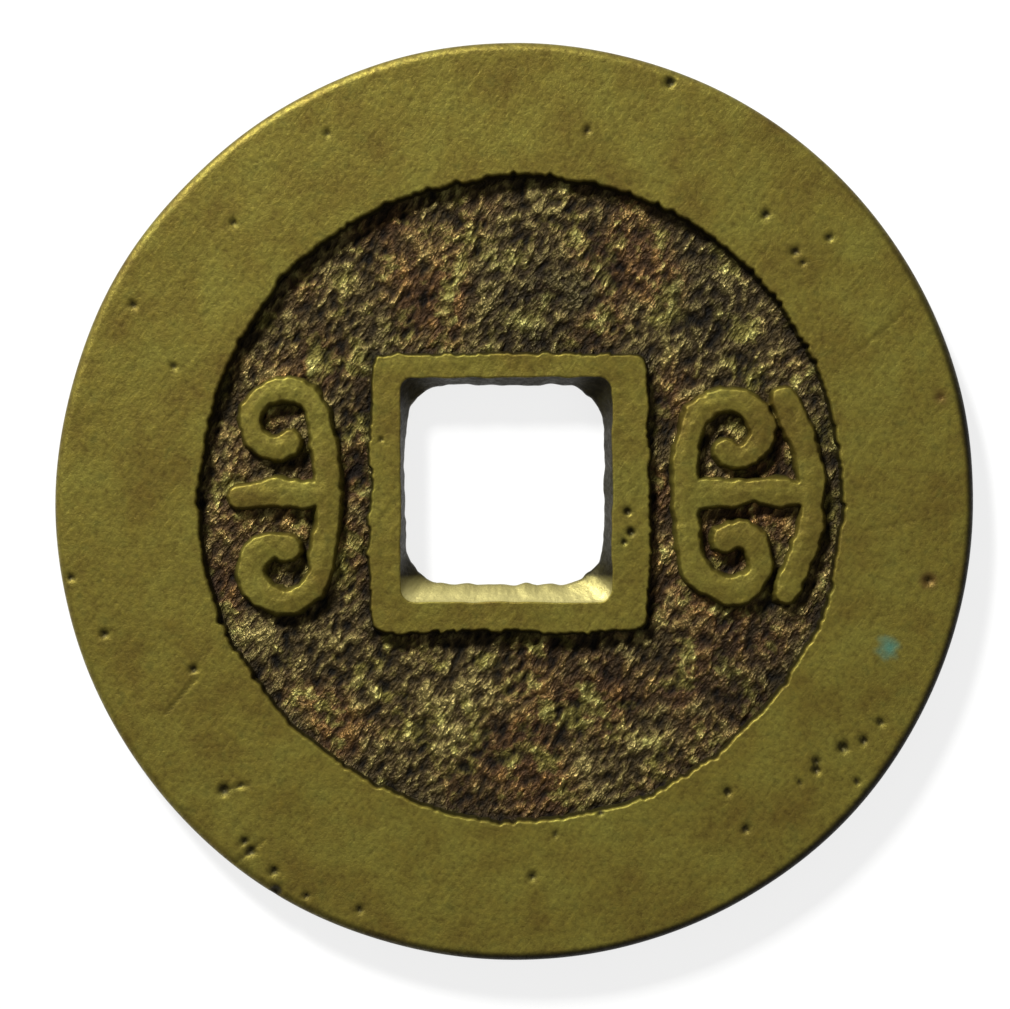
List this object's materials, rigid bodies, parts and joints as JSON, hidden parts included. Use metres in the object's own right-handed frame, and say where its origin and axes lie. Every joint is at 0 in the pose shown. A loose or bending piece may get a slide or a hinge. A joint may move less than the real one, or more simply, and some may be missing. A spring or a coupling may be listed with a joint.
{
  "type": "cash coin with a square hole",
  "caption": "Round cast brass cash coin with a broad rim, a square hole with a raised rim, and raised scroll ornaments on a rough sunken ground.",
  "frame": {"origin": "centre of the coin's back, on the plane that the coin rests on", "axes": "+Z through the thickness, from the back to the face; +X to the right and +Y up as the face is seen"},
  "size_m": [0.027, 0.027, 0.0012],
  "materials": {
    "worn_brass": "matte, rubbed smooth by wear, olive brown",
    "cast_ground": "rough as cast, dark brown patina"
  },
  "bodies": {
    "root": {"outer_rim": "worn_brass", "ground": "cast_ground", "inner_rim": "worn_brass", "left_scroll": "worn_brass", "right_scroll": "worn_brass", "back_right_scroll": "worn_brass", "back_top_scroll": "worn_brass", "back_left_scroll": "worn_brass", "back_bottom_scroll": "worn_brass"}
  },
  "joints": []
}
